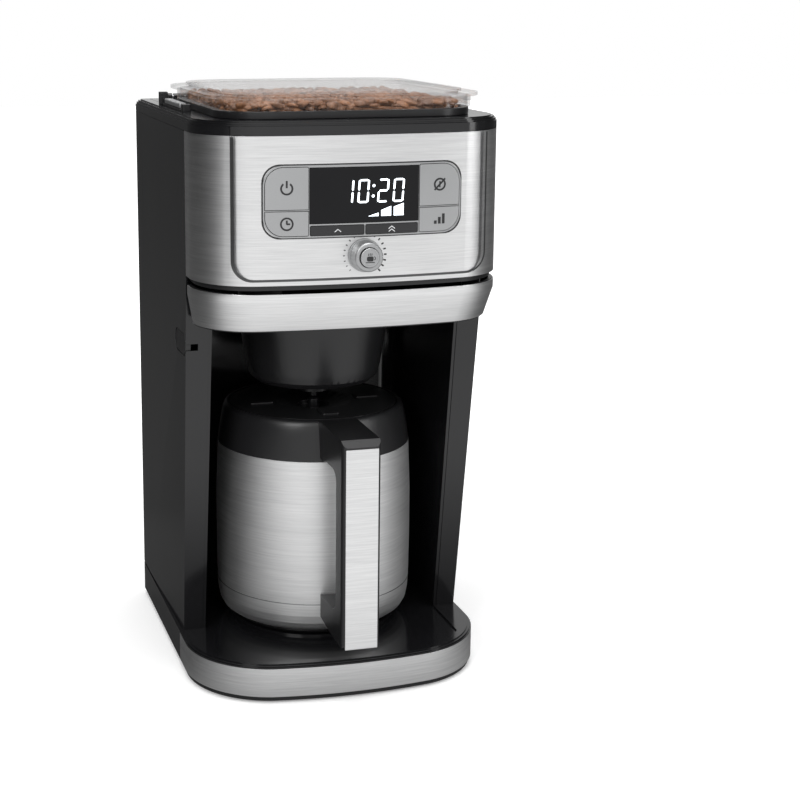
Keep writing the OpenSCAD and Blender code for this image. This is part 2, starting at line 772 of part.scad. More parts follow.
module filter_basket() color("#232326") difference() {
    rotate_extrude() polygon([
        [5, cup_low + 9], [40, cup_low + 9], [43, cup_low + 13], [50.4, cup_low + 46],
        [51.2, door_top - 3], [49.6, door_top - 3], [48.8, cup_low + 46],
        [41.6, cup_low + 14], [39, cup_low + 10.6], [5, cup_low + 10.6]]);
    for (i = [0:7]) rotate([0, 0, 45 * i + 22]) translate([24, 0, 0]) cylinder(r = 2, h = 300);
}

module mesh_filter() color("#b09a55") rotate_extrude() polygon([
    [0, cup_low + 12], [30, cup_low + 12], [46.6, cup_low + 47], [48.8, door_top - 5],
    [48.2, door_top - 5], [46, cup_low + 47.2], [29.6, cup_low + 12.6], [0, cup_low + 12.6]]);

module drip_stop() color("#3b3b3e") {
    slab(cup_low - 11, cup_low + 3.6) circle(r = 3);
    slab(cup_low - 6.6, cup_low - 5) circle(r = 5);
    slab(cup_low + 3.2, cup_low + 4.8) circle(r = 8);
}

module release_button() color("#1d1d1f") {
    bar_x(-half_w + 0.3, -half_w + 4) button_plan(-0.1);
    translate([-half_w + 3.9, button_y, button_z]) rotate([0, 90, 0]) cylinder(r = 4, h = 5);
}

// ---- carafe ----

module carafe_shell() color("#c6c8ca") rotate_extrude() polygon([
    [60, 32.4], [63.4, 33], [66.6, 35.4], [68.8, 39.4], [69.9, 45], [70.4, 52], [70.7, 60],
    [carafe_r, 84], [carafe_r, 120], [69.6, collar_low], [68.8, collar_low],
    [carafe_r - skin, 120], [carafe_r - skin, 84], [69.9, 60], [69.6, 52], [69.1, 45.2],
    [68.1, 39.8], [66.1, 36.1], [63.2, 33.8], [60, 33.2]]);

module carafe_liner() color("#b2b4b6") rotate_extrude() polygon([
    [0, 41], [56, 41], [60, 44], [64, 52], [64, 140], [56, 152], [48.4, 158], [48.4, 172],
    [47.6, 172], [47.6, 157.6], [55.4, 151.4], [63.2, 139.8], [63.2, 52.2], [59.4, 44.8],
    [55.8, 41.8], [0, 41.8]]);

module carafe_foot() color("#19191a") rotate_extrude() polygon([
    [0, 36], [50, 36], [50, tray_top + 0.8], [57.5, tray_top + 0.8], [59, tray_top + 2.5],
    [59.6, 37.6], [56.9, 36.9], [56.9, 38.4], [0, 38.4]]);

module carafe_collar() color("#1d1d1f") rotate_extrude() polygon([
    [48.6, collar_low + 0.8], [68.7, collar_low - 3], [68.7, collar_low + 0.1],
    [69.6, collar_low + 0.1], [68.4, 166], [66.8, 176], [65.6, 181.5], [64.6, 184],
    [62.8, carafe_top], [lid_r + clear, carafe_top], [lid_r + clear, 176], [48.6, 172.2]]);

module carafe_handle() color("#19191b") difference() {
    intersection() {
        bar_x(-handle_half, handle_half) handle_profile();
        slab(30, 200) round_rect(-handle_half, face_y - 2.2, handle_half, -30, 5);
    }
    translate([0, 0, collar_low]) cylinder(r1 = 69.9, r2 = 66.4, h = 24);
    slab(170, 200) circle(r = 65.9);
    slab(20, collar_low + 0.5) circle(r = carafe_r + 0.05);
    bar_x(-inlay_half - 0.1, inlay_half + 0.1) translate([face_y - 3, 41.4])
        square([2.2, 139.6]);
}

// Side view of the handle: a closed grip with its finger opening.
module handle_profile() difference() {
    polygon([[face_y - 2, 46], [face_y + 1, 42.6], [-90, 43.4], [-66, 46], [-60, 50], [-60, 186],
             [face_y + 3, 186.4], [face_y - 2, 182]]);
    round_rect(face_y + 14.4, 63, -74.5, 162, 9);
    translate([-84, 62]) square([24, 98]);
}

module handle_inlay() color("#cbcdcf") slab(41.6, 180.8)
    round_rect(-inlay_half, face_y - 1.9, inlay_half, face_y - 0.85, 0.5);

module carafe_lid() color("#222224") difference() {
    union() {
        slab(176.4, carafe_top - 1) circle(r = lid_r);
        slab(176.4, carafe_top) circle(r = lid_r - 1);
        slab(160, 177) circle(r = 45.4);
        for (a = [0, 90, 180, 270]) rotate([0, 0, a]) slab(carafe_top - 1, carafe_top + 0.9)
            round_rect(31, -6, 48, 6, 1.5);
    }
    translate([0, 0, carafe_top - 3.6]) cylinder(r1 = 15, r2 = 29.6, h = 3.7);
    slab(carafe_top - 6.4, carafe_top) circle(r = 12);
    slab(155, 178) difference() {
        circle(r = 43.2);
        circle(r = 9);
    }
    slab(150, 190) circle(r = 4.4);
    slab(164, 168) difference() {
        circle(r = 50);
        circle(r = 44);
    }
}

module lid_gasket() color("#8a2f2a") tube(47.2, 44.05, 164.1, 167.9);

module lid_valve() color("#37373a") {
    slab(165, carafe_top + 0.6) circle(r = 4);
    slab(157, 159.6) circle(r = 7.5);
    slab(159, 166) circle(r = 2.5);
}

base_shell();
base_band();
bottom_cover();
rubber_feet();
base_screws();
left_side_panel();
right_side_panel();
bay_liner();
upper_housing();
rear_cover();
steel_fascia();
top_deck();
hopper();
hopper_lid();
bean_charge();
latch_rail();
latch_slider();
control_bezel();
display_window();
display_module();
control_board();
power_key();
program_key();
hour_key();
minute_key();
grinder_off_key();
strength_key();
grind_dial();
dial_encoder();
brew_button();
reservoir();
reservoir_lid();
reservoir_hinge_pins();
water_filter_holder();
check_valve();
supply_hose();
heater_tube();
riser_hose();
shower_head();
grind_chamber();
upper_burr();
lower_burr();
grinder_motor();
basket_holder();
basket_band();
basket_hinge_pin();
filter_basket();
mesh_filter();
drip_stop();
release_button();
cord_gland();
carafe_shell();
carafe_liner();
carafe_foot();
carafe_collar();
carafe_handle();
handle_inlay();
carafe_lid();
lid_gasket();
lid_valve();
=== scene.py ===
"""Finishes, loose coffee beans, display and markings of a drip coffee maker, built around its frame."""

import json
import logging
import math
import random
from dataclasses import dataclass, field
from enum import Enum
from typing import Callable, Dict, List, Sequence, Tuple, Union

import bpy
from mathutils import Euler, Matrix, Vector


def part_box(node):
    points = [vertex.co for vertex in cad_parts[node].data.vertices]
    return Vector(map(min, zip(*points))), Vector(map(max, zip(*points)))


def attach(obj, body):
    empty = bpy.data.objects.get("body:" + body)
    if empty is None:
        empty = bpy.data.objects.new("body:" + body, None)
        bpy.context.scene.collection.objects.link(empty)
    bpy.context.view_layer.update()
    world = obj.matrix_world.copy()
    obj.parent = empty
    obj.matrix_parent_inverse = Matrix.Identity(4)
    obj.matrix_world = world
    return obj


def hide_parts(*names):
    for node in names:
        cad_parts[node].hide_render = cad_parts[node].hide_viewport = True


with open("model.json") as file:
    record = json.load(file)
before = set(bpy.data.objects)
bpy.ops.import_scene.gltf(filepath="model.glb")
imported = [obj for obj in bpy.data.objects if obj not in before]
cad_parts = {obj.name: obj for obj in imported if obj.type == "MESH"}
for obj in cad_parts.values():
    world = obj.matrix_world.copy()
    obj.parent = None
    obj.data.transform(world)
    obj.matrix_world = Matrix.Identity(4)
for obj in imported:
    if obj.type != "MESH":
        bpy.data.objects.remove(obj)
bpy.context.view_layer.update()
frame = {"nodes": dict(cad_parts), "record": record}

MM = 0.001
Socket = bpy.types.NodeSocket
# The bulged front of the housing: its foremost line, and the radius of its bulge.
FACE_Y = -122.25 * MM
NOSE_R = 528 * MM
DIAL_Z = 310 * MM
# How far the window, the keys and the middle panel stand out of the housing's front.
WINDOW_PROUD = 2.5 * MM
KEY_PROUD = 3.0 * MM
PANEL_PROUD = 1.8 * MM
# Thickness of a printed or lit mark.
FILM = 0.12 * MM

log = logging.getLogger("coffee_maker")
Colour = Tuple[float, float, float]
Point = Tuple[float, float, float]


class Brush(Enum):
    """The way the streaks of brushed metal run, as noise scales along X, Y and Z."""

    LEVEL = (26.0, 26.0, 1000.0)
    TURNED = (20.0, 20.0, 1100.0)


class Icon(Enum):
    """The generic marks on the keys."""

    POWER = "power"
    CLOCK = "clock"
    BEAN_OFF = "bean_off"
    STEPS = "steps"
    ARROW = "arrow"
    TWO_ARROWS = "two_arrows"


# ---- mesh helpers ----


def clear_selection() -> None:
    """Leaves edit mode and deselects everything."""
    if bpy.context.object and bpy.context.object.mode != "OBJECT":
        bpy.ops.object.mode_set(mode="OBJECT")
    bpy.ops.object.select_all(action="DESELECT")


def only(piece: bpy.types.Object) -> None:
    """Makes one object the only selected and the active one.

    Args:
        piece: The object.
    """
    clear_selection()
    piece.select_set(True)
    bpy.context.view_layer.objects.active = piece


def settle(piece: bpy.types.Object) -> bpy.types.Object:
    """Applies an object's place, turn and scale to its mesh.

    Args:
        piece: The object.

    Returns:
        The same object, at the origin.
    """
    only(piece)
    bpy.ops.object.transform_apply(location=True, rotation=True, scale=True)
    return piece


def outward(piece: bpy.types.Object) -> bpy.types.Object:
    """Merges doubles and points all faces outward.

    Args:
        piece: The object.

    Returns:
        The same object.
    """
    only(piece)
    bpy.ops.object.mode_set(mode="EDIT")
    bpy.ops.mesh.select_all(action="SELECT")
    bpy.ops.mesh.remove_doubles(threshold=1e-6)
    bpy.ops.mesh.normals_make_consistent(inside=False)
    bpy.ops.object.mode_set(mode="OBJECT")
    return piece


def joined(pieces: Sequence[bpy.types.Object], name: str) -> bpy.types.Object:
    """Joins pieces into one object.

    Args:
        pieces: The objects to join.
        name: The name of the result.

    Returns:
        The joined object.
    """
    clear_selection()
    for piece in pieces:
        piece.select_set(True)
    bpy.context.view_layer.objects.active = pieces[0]
    if len(pieces) > 1:
        bpy.ops.object.join()
    pieces[0].name = name
    return pieces[0]


def thicken(depth: float) -> None:
    """Extrudes the selected flat faces toward the front, in edit mode."""
    bpy.ops.mesh.extrude_region_move(TRANSFORM_OT_translate={"value": (0, -depth, 0)})


def bar(x: float, z: float, width: float, height: float, turn: float = 0.0,
        point: float = 0.0, depth: float = FILM) -> bpy.types.Object:
    """A thin bar on the face, seen from the front.

    Args:
        x: Centre across.
        z: Centre up.
        width: Size across.
        height: Size up.
        turn: Angle in degrees, seen from the front.
        point: How much the corners are cut.
        depth: Thickness.

    Returns:
        The bar, facing the front.
    """
    clear_selection()
    bpy.ops.mesh.primitive_plane_add(size=1, rotation=(math.pi / 2, 0, 0))
    piece = bpy.context.object
    piece.scale = (width, height, 1)
    settle(piece)
    bpy.ops.object.mode_set(mode="EDIT")
    bpy.ops.mesh.select_all(action="SELECT")
    if point:
        bpy.ops.mesh.bevel(offset=point, segments=1, affect="VERTICES")
        bpy.ops.mesh.select_all(action="SELECT")
    thicken(depth)
    bpy.ops.object.mode_set(mode="OBJECT")
    piece.rotation_euler = (0, math.radians(turn), 0)
    piece.location = (x, 0, z)
    return outward(settle(piece))


def disc(x: float, z: float, radius: float, depth: float = FILM, sides: int = 32) -> bpy.types.Object:
    """A thin round mark on the face.

    Args:
        x: Centre across.
        z: Centre up.
        radius: Radius.
        depth: Thickness.
        sides: Number of corners.

    Returns:
        The mark, facing the front.
    """
    clear_selection()
    bpy.ops.mesh.primitive_circle_add(vertices=sides, radius=radius, fill_type="NGON",
                                      rotation=(math.pi / 2, 0, 0))
    piece = bpy.context.object
    settle(piece)
    bpy.ops.object.mode_set(mode="EDIT")
    bpy.ops.mesh.select_all(action="SELECT")
    thicken(depth)
    bpy.ops.object.mode_set(mode="OBJECT")
    piece.location = (x, 0, z)
    return outward(settle(piece))


def arc(x: float, z: float, radius: float, width: float, start: float, sweep: float,
        depth: float = FILM) -> bpy.types.Object:
    """A thin ring or part of one, spun from a small block.

    Args:
        x: Centre across.
        z: Centre up.
        radius: Middle radius.
        width: Width of the line.
        start: Angle of the first end, clockwise from the top, in degrees.
        sweep: Angle that the line covers, in degrees.
        depth: Thickness.

    Returns:
        The ring.
    """
    clear_selection()
    bpy.ops.mesh.primitive_plane_add(size=1)
    piece = bpy.context.object
    piece.scale = (depth, width, 1)
    piece.rotation_euler = (0, 0, math.pi / 2)
    settle(piece)
    piece.location = (radius, -depth / 2, 0)
    settle(piece)
    bpy.ops.object.mode_set(mode="EDIT")
    bpy.ops.mesh.select_all(action="SELECT")
    steps = max(6, int(abs(sweep) / 9))
    bpy.ops.mesh.spin(steps=steps, angle=-math.radians(sweep), center=(0, 0, 0), axis=(0, 1, 0))
    bpy.ops.object.mode_set(mode="OBJECT")
    piece.rotation_euler = (0, math.radians(start - 90), 0)
    piece.location = (x, 0, z)
    return outward(settle(piece))


def wrap_to_face(piece: bpy.types.Object, proud: float, lift: float = 0.02 * MM) -> bpy.types.Object:
    """Lays a flat mark on the bulged face.

    Args:
        piece: The mark, flat around y 0.
        proud: How far the surface stands out of the housing face.
        lift: Gap that keeps the mark off the surface.

    Returns:
        The same piece.
    """
    radius = NOSE_R + proud
    centre = FACE_Y + NOSE_R
    for vertex in piece.data.vertices:
        vertex.co.y += centre - math.sqrt(radius ** 2 - vertex.co.x ** 2) - lift
    return piece


def softened(node: str, width: float, angle: float = 32.0, segments: int = 2) -> bpy.types.Object:
    """Copies a CAD node, rounds its hard edges and shows the copy in its place.

    Args:
        node: The node.
        width: Size of the rounding.
        angle: Least angle of an edge that is rounded, in degrees.
        segments: Steps across the rounding.

    Returns:
        The copy.
    """
    source = frame["nodes"][node]
    piece = bpy.data.objects.new(node + "_shown", source.data.copy())
    bpy.context.collection.objects.link(piece)
    only(piece)
    bpy.ops.object.mode_set(mode="EDIT")
    bpy.ops.mesh.select_all(action="SELECT")
    bpy.ops.mesh.remove_doubles(threshold=2e-6)
    bpy.ops.mesh.customdata_custom_splitnormals_clear()
    bpy.ops.mesh.dissolve_limited(angle_limit=math.radians(0.4))
    bpy.ops.object.mode_set(mode="OBJECT")
    bevel = piece.modifiers.new("rounding", "BEVEL")
    bevel.width = width
    bevel.segments = segments
    bevel.limit_method = "ANGLE"
    bevel.angle_limit = math.radians(angle)
    bevel.use_clamp_overlap = True
    bevel.harden_normals = False
    bpy.ops.object.modifier_apply(modifier=bevel.name)
    bpy.ops.object.shade_smooth_by_angle(angle=math.radians(28))
    even = piece.modifiers.new("even_shading", "WEIGHTED_NORMAL")
    even.keep_sharp = True
    even.weight = 80
    bpy.ops.object.modifier_apply(modifier=even.name)
    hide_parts(node)
    return piece


# ---- material helpers ----


@dataclass
class Graph:
    """A small builder of node trees."""

    tree: bpy.types.NodeTree

    def add(self, kind: str, **values: object) -> bpy.types.Node:
        """Adds a node.

        Args:
            kind: The type of node.
            values: Properties to set on it.

        Returns:
            The node.
        """
        node = self.tree.nodes.new(kind)
        for key, value in values.items():
            setattr(node, key, value)
        return node

    def link(self, out: Socket, into: Socket) -> None:
        """Joins two sockets."""
        self.tree.links.new(out, into)

    def sums(self, operation: str, *values: Union[Socket, float]) -> Socket:
        """Does arithmetic.

        Args:
            operation: The operation of the Math node.
            values: What it works on, as sockets or plain numbers.

        Returns:
            The result.
        """
        node = self.add("ShaderNodeMath", operation=operation)
        for index, value in enumerate(values):
            if isinstance(value, Socket):
                self.link(value, node.inputs[index])
            else:
                node.inputs[index].default_value = value
        return node.outputs[0]

    def span(self, source: Socket, taken: Tuple[float, float], given: Tuple[float, float],
             soft: bool = False) -> Socket:
        """Maps one range to another.

        Args:
            source: The value.
            taken: The range that it is read over.
            given: The range that it becomes.
            soft: Whether the ends are eased.

        Returns:
            The mapped value.
        """
        node = self.add("ShaderNodeMapRange")
        if soft:
            node.interpolation_type = "SMOOTHSTEP"
        for key, value in zip(("From Min", "From Max", "To Min", "To Max"), (*taken, *given)):
            node.inputs[key].default_value = value
        self.link(source, node.inputs["Value"])
        return node.outputs["Result"]

    def ramp(self, source: Socket, low: float, high: float) -> Socket:
        """Maps a 0 to 1 value to a range."""
        return self.span(source, (0.0, 1.0), (low, high))

    def blend(self, mask: Socket, low: Colour, high: Colour) -> Socket:
        """Mixes two colours.

        Args:
            mask: Where the second colour shows.
            low: The first colour.
            high: The second colour.

        Returns:
            The mixed colour.
        """
        node = self.add("ShaderNodeMix", data_type="RGBA")
        node.inputs[6].default_value = (*low, 1)
        node.inputs[7].default_value = (*high, 1)
        self.link(mask, node.inputs[0])
        return node.outputs[2]

    def coords(self, scale: Point = (1, 1, 1)) -> Socket:
        """Reads the Object coordinates.

        Args:
            scale: What they are multiplied by, along X, Y and Z.

        Returns:
            The coordinates.
        """
        place = self.add("ShaderNodeTexCoord")
        mapping = self.add("ShaderNodeMapping")
        mapping.inputs["Scale"].default_value = scale
        self.link(place.outputs["Object"], mapping.inputs["Vector"])
        return mapping.outputs["Vector"]

    def bump(self, height: Socket, strength: float, distance: float) -> Socket:
        """Makes a bump from a height.

        Args:
            height: The height.
            strength: How strongly it shows.
            distance: The height's full depth, in metres.

        Returns:
            The bumped normal.
        """
        node = self.add("ShaderNodeBump")
        node.inputs["Strength"].default_value = strength
        node.inputs["Distance"].default_value = distance
        self.link(height, node.inputs["Height"])
        return node.outputs["Normal"]


GROUPS: Dict[str, bpy.types.NodeTree] = {}


def make_group(name: str, inputs: Sequence[str], outputs: Sequence[str],
               fill: Callable[[Graph, bpy.types.Node, bpy.types.Node], None]) -> bpy.types.NodeTree:
    """Builds a node group once.

    Args:
        name: The name of the group.
        inputs: Names of its inputs; the first is a vector and the rest are numbers.
        outputs: Names of its outputs, all numbers.
        fill: Builds the inside between the input and the output node.

    Returns:
        The group.
    """
    if name in GROUPS:
        return GROUPS[name]
    tree = bpy.data.node_groups.new(name, "ShaderNodeTree")
    for index, label in enumerate(inputs):
        kind = "NodeSocketVector" if index == 0 else "NodeSocketFloat"
        tree.interface.new_socket(name=label, in_out="INPUT", socket_type=kind)
    for label in outputs:
        tree.interface.new_socket(name=label, in_out="OUTPUT", socket_type="NodeSocketFloat")
    graph = Graph(tree)
    fill(graph, graph.add("NodeGroupInput"), graph.add("NodeGroupOutput"))
    GROUPS[name] = tree
    return tree


def fill_grain(graph: Graph, start: bpy.types.Node, end: bpy.types.Node) -> None:
    """Fills the group for the streaks of brushed metal: fine lines over broad bands.

    Args:
        graph: The group's tree.
        start: Its input node.
        end: Its output node.
    """
    fine = graph.add("ShaderNodeTexNoise")
    fine.inputs["Scale"].default_value = 1.0
    fine.inputs["Detail"].default_value = 4.0
    fine.inputs["Roughness"].default_value = 0.7
    broad = graph.add("ShaderNodeTexNoise")
    broad.inputs["Scale"].default_value = 0.16
    broad.inputs["Detail"].default_value = 2.0
    graph.link(start.outputs[0], fine.inputs["Vector"])
    graph.link(start.outputs[0], broad.inputs["Vector"])
    mix = graph.add("ShaderNodeMix", data_type="FLOAT")
    graph.link(start.outputs[1], mix.inputs[0])
    graph.link(fine.outputs[0], mix.inputs[2])
    graph.link(broad.outputs[0], mix.inputs[3])
    graph.link(fine.outputs[0], end.inputs[0])
    graph.link(mix.outputs[0], end.inputs[1])


def fill_mould(graph: Graph, start: bpy.types.Node, end: bpy.types.Node) -> None:
    """Fills the group for the surface of moulded plastic: a fine texture, and soft smudges.

    Args:
        graph: The group's tree.
        start: Its input node.
        end: Its output node.
    """
    fine = graph.add("ShaderNodeTexNoise")
    fine.inputs["Detail"].default_value = 3.0
    smudge = graph.add("ShaderNodeTexNoise")
    smudge.inputs["Scale"].default_value = 14.0
    smudge.inputs["Detail"].default_value = 5.0
    smudge.inputs["Distortion"].default_value = 0.6
    graph.link(start.outputs[0], fine.inputs["Vector"])
    graph.link(start.outputs[0], smudge.inputs["Vector"])
    graph.link(start.outputs[1], fine.inputs["Scale"])
    graph.link(fine.outputs[0], end.inputs[0])
    graph.link(smudge.outputs[0], end.inputs[1])


def new_material(name: str) -> Tuple[bpy.types.Material, Graph, bpy.types.Node]:
    """Starts a material with a Principled shader.

    Args:
        name: The name of the material.

    Returns:
        The material, its graph and its shader.
    """
    material = bpy.data.materials.new(name)
    material.use_nodes = True
    graph = Graph(material.node_tree)
    return material, graph, material.node_tree.nodes["Principled BSDF"]


@dataclass(frozen=True)
class BrushedMetal:
    """Brushed or turned metal."""

    name: str
    dark: Colour = (0.52, 0.525, 0.53)
    light: Colour = (1.0, 1.0, 1.0)
    rough: Tuple[float, float] = (0.30, 0.44)
    brush: Brush = Brush.LEVEL
    bump: float = 0.10

    def build(self) -> bpy.types.Material:
        """Builds the material."""
        material, graph, shader = new_material(self.name)
        group = graph.add("ShaderNodeGroup")
        group.node_tree = make_group("metal_grain", ("Vector", "Banding"), ("Lines", "Bands"), fill_grain)
        group.inputs["Banding"].default_value = 0.20
        graph.link(graph.coords(self.brush.value), group.inputs["Vector"])
        lines, bands = group.outputs["Lines"], group.outputs["Bands"]
        graph.link(graph.blend(bands, self.dark, self.light), shader.inputs["Base Color"])
        graph.link(graph.ramp(lines, *self.rough), shader.inputs["Roughness"])
        graph.link(graph.bump(lines, self.bump, 0.0002), shader.inputs["Normal"])
        shader.inputs["Metallic"].default_value = 1.0
        return material


@dataclass(frozen=True)
class Moulding:
    """Moulded plastic, painted plastic or rubber."""

    name: str
    dark: Colour
    light: Colour
    rough: Tuple[float, float] = (0.3, 0.45)
    grain: float = 1400.0
    bump: float = 0.06
    metallic: float = 0.0
    coat: float = 0.0
    specular: float = 0.5

    def build(self) -> bpy.types.Material:
        """Builds the material."""
        material, graph, shader = new_material(self.name)
        group = graph.add("ShaderNodeGroup")
        group.node_tree = make_group("mould_surface", ("Vector", "Grain"), ("Texture", "Smudge"), fill_mould)
        group.inputs["Grain"].default_value = self.grain
        graph.link(graph.coords(), group.inputs["Vector"])
        texture, smudge = group.outputs["Texture"], group.outputs["Smudge"]
        graph.link(graph.blend(smudge, self.dark, self.light), shader.inputs["Base Color"])
        graph.link(graph.ramp(smudge, *self.rough), shader.inputs["Roughness"])
        graph.link(graph.bump(texture, self.bump, 0.0002), shader.inputs["Normal"])
        shader.inputs["Metallic"].default_value = self.metallic
        shader.inputs["Specular IOR Level"].default_value = self.specular
        shader.inputs["Coat Weight"].default_value = self.coat
        shader.inputs["Coat Roughness"].default_value = 0.06
        return material


@dataclass(frozen=True)
class ClearMoulding:
    """Clear or smoked plastic with faint flow lines."""

    name: str
    tint: Colour
    shade: Colour
    transmission: float = 1.0
    rough: Tuple[float, float] = (0.02, 0.06)
    cover: float = 1.0

    def build(self) -> bpy.types.Material:
        """Builds the material."""
        material, graph, shader = new_material(self.name)
        group = graph.add("ShaderNodeGroup")
        group.node_tree = make_group("mould_surface", ("Vector", "Grain"), ("Texture", "Smudge"), fill_mould)
        group.inputs["Grain"].default_value = 60.0
        graph.link(graph.coords(), group.inputs["Vector"])
        smudge = group.outputs["Smudge"]
        graph.link(graph.blend(smudge, self.tint, self.shade), shader.inputs["Base Color"])
        graph.link(graph.ramp(smudge, *self.rough), shader.inputs["Roughness"])
        graph.link(graph.bump(group.outputs["Texture"], 0.02, 0.0002), shader.inputs["Normal"])
        rays = graph.add("ShaderNodeLightPath")
        graph.link(graph.ramp(rays.outputs["Is Shadow Ray"], self.cover, 0.12), shader.inputs["Alpha"])
        shader.inputs["Transmission Weight"].default_value = self.transmission
        shader.inputs["IOR"].default_value = 1.46
        return material


@dataclass(frozen=True)
class Roast:
    """Roasted coffee beans, each with its own shade, and an oily sheen."""

    name: str = "roasted_bean"

    def build(self) -> bpy.types.Material:
        """Builds the material."""
        material, graph, shader = new_material(self.name)
        shade = graph.add("ShaderNodeAttribute", attribute_name="roast")
        noise = graph.add("ShaderNodeTexNoise")
        noise.inputs["Scale"].default_value = 420.0
        noise.inputs["Detail"].default_value = 4.0
        graph.link(graph.coords(), noise.inputs["Vector"])
        mix = graph.add("ShaderNodeMix", data_type="FLOAT")
        mix.inputs[0].default_value = 0.3
        graph.link(shade.outputs["Fac"], mix.inputs[2])
        graph.link(noise.outputs[0], mix.inputs[3])
        colour = graph.blend(mix.outputs[0], (0.050, 0.020, 0.009), (0.34, 0.155, 0.072))
        graph.link(colour, shader.inputs["Base Color"])
        graph.link(graph.ramp(noise.outputs[0], 0.25, 0.5), shader.inputs["Roughness"])
        graph.link(graph.bump(noise.outputs[0], 0.25, 0.0003), shader.inputs["Normal"])
        return material


@dataclass(frozen=True)
class Lit:
    """A lit mark behind the window, slightly uneven."""

    name: str
    low: Colour
    high: Colour
    strength: float = 1.6

    def build(self) -> bpy.types.Material:
        """Builds the material."""
        material, graph, shader = new_material(self.name)
        noise = graph.add("ShaderNodeTexNoise")
        noise.inputs["Scale"].default_value = 260.0
        graph.link(graph.coords(), noise.inputs["Vector"])
        colour = graph.blend(noise.outputs[0], self.low, self.high)
        graph.link(colour, shader.inputs["Base Color"])
        graph.link(colour, shader.inputs["Emission Color"])
        shader.inputs["Emission Strength"].default_value = self.strength
        return material


@dataclass(frozen=True)
class Woven:
    """Fine woven metal mesh."""

    name: str = "gold_mesh"

    def build(self) -> bpy.types.Material:
        """Builds the material."""
        material, graph, shader = new_material(self.name)
        wave = graph.add("ShaderNodeTexVoronoi", distance="CHEBYCHEV")
        wave.inputs["Scale"].default_value = 1100.0
        wave.inputs["Randomness"].default_value = 0.0
        graph.link(graph.coords(), wave.inputs["Vector"])
        colour = graph.blend(wave.outputs[0], (0.72, 0.55, 0.24), (0.3, 0.2, 0.07))
        graph.link(colour, shader.inputs["Base Color"])
        graph.link(graph.ramp(wave.outputs[0], 0.25, 0.5), shader.inputs["Roughness"])
        graph.link(graph.bump(wave.outputs[0], 0.5, 0.0003), shader.inputs["Normal"])
        shader.inputs["Metallic"].default_value = 1.0
        return material


@dataclass(frozen=True)
class Board:
    """Green circuit board with copper tracks."""

    name: str = "circuit_board"

    def build(self) -> bpy.types.Material:
        """Builds the material."""
        material, graph, shader = new_material(self.name)
        brick = graph.add("ShaderNodeTexBrick")
        brick.inputs["Scale"].default_value = 90.0
        brick.inputs["Mortar Size"].default_value = 0.04
        brick.inputs["Color1"].default_value = (0.015, 0.10, 0.045, 1)
        brick.inputs["Color2"].default_value = (0.02, 0.13, 0.06, 1)
        brick.inputs["Mortar"].default_value = (0.10, 0.28, 0.10, 1)
        graph.link(graph.coords(), brick.inputs["Vector"])
        graph.link(brick.outputs["Color"], shader.inputs["Base Color"])
        graph.link(graph.ramp(brick.outputs["Fac"], 0.35, 0.5), shader.inputs["Roughness"])
        graph.link(graph.bump(brick.outputs["Fac"], 0.3, 0.0002), shader.inputs["Normal"])
        return material


SLOT_FINISH: Dict[str, object] = {
    "gloss_black": Moulding(
        "gloss_black", (0.006, 0.006, 0.007), (0.011, 0.011, 0.012),
        (0.10, 0.20), 500, 0.02, coat=0.1,
    ),
    "black_plastic": Moulding(
        "satin_black", (0.010, 0.010, 0.011), (0.018, 0.018, 0.019),
        (0.26, 0.40), 1500, 0.05,
    ),
    "brushed_steel": BrushedMetal("brushed_steel"),
    "plain_steel": BrushedMetal(
        "turned_steel", (0.40, 0.40, 0.41),
        (0.62, 0.62, 0.63), (0.2, 0.4), Brush.TURNED,
    ),
    "clear_plastic": ClearMoulding("clear_lid", (0.96, 0.97, 0.98), (0.90, 0.92, 0.93), cover=0.30),
    "smoked_plastic": ClearMoulding("smoked_tank", (0.42, 0.43, 0.45), (0.34, 0.35, 0.37), 0.8, (0.05, 0.12)),
    "silver_plastic": Moulding(
        "silver_paint", (0.37, 0.375, 0.38), (0.46, 0.465, 0.47),
        (0.28, 0.40), 2600, 0.05, 0.75,
    ),
    "dark_key": Moulding("dark_key", (0.012, 0.012, 0.013), (0.025, 0.025, 0.027), (0.3, 0.42), 1800, 0.05),
    "window": Moulding(
        "display_window", (0.003, 0.003, 0.004), (0.006, 0.006, 0.007),
        (0.05, 0.10), 300, 0.01, specular=0.22,
    ),
    "electronics": Board(),
    "rubber": Moulding("foot_rubber", (0.016, 0.016, 0.016), (0.034, 0.034, 0.034), (0.6, 0.8), 900, 0.2),
    "hose": Moulding("milky_silicone", (0.55, 0.56, 0.57), (0.70, 0.71, 0.72), (0.4, 0.55), 700, 0.05),
    "aluminium": Moulding(
        "cast_aluminium", (0.42, 0.42, 0.42), (0.58, 0.58, 0.58),
        (0.4, 0.6), 900, 0.3, 1.0,
    ),
    "mesh": Woven(),
    "beans": Roast(),
}


@dataclass
class Finishes:
    """All materials, built once and shared."""

    made: Dict[str, bpy.types.Material] = field(default_factory=dict)

    def slot(self, name: str) -> bpy.types.Material:
        """The material of one of the record's slots."""
        return self.use(SLOT_FINISH[name])

    def use(self, finish: object) -> bpy.types.Material:
        """The material of a finish."""
        key = finish.name
        if key not in self.made:
            self.made[key] = finish.build()
        return self.made[key]


# A darkened copy of the brushed steel: painted shade on the slope round the fascia's middle panel, and the
# seam's own dark line on the carafe.
SHADE_AND_SEAM_STEEL = BrushedMetal("shade_and_seam_steel", (0.16, 0.162, 0.165), (0.24, 0.243, 0.247), (0.35, 0.5))
CARAFE_STEEL = BrushedMetal("carafe_steel", (0.56, 0.565, 0.57), (1.0, 1.0, 1.0), (0.42, 0.56))
LIT_WHITE = Lit("display_light", (0.80, 0.90, 1.0), (0.95, 0.98, 1.0))
PALE_INK = Moulding("pale_ink", (0.70, 0.71, 0.72), (0.82, 0.83, 0.84), (0.4, 0.5))
DARK_INK = Moulding("dark_ink", (0.010, 0.010, 0.011), (0.022, 0.022, 0.023), (0.4, 0.5))


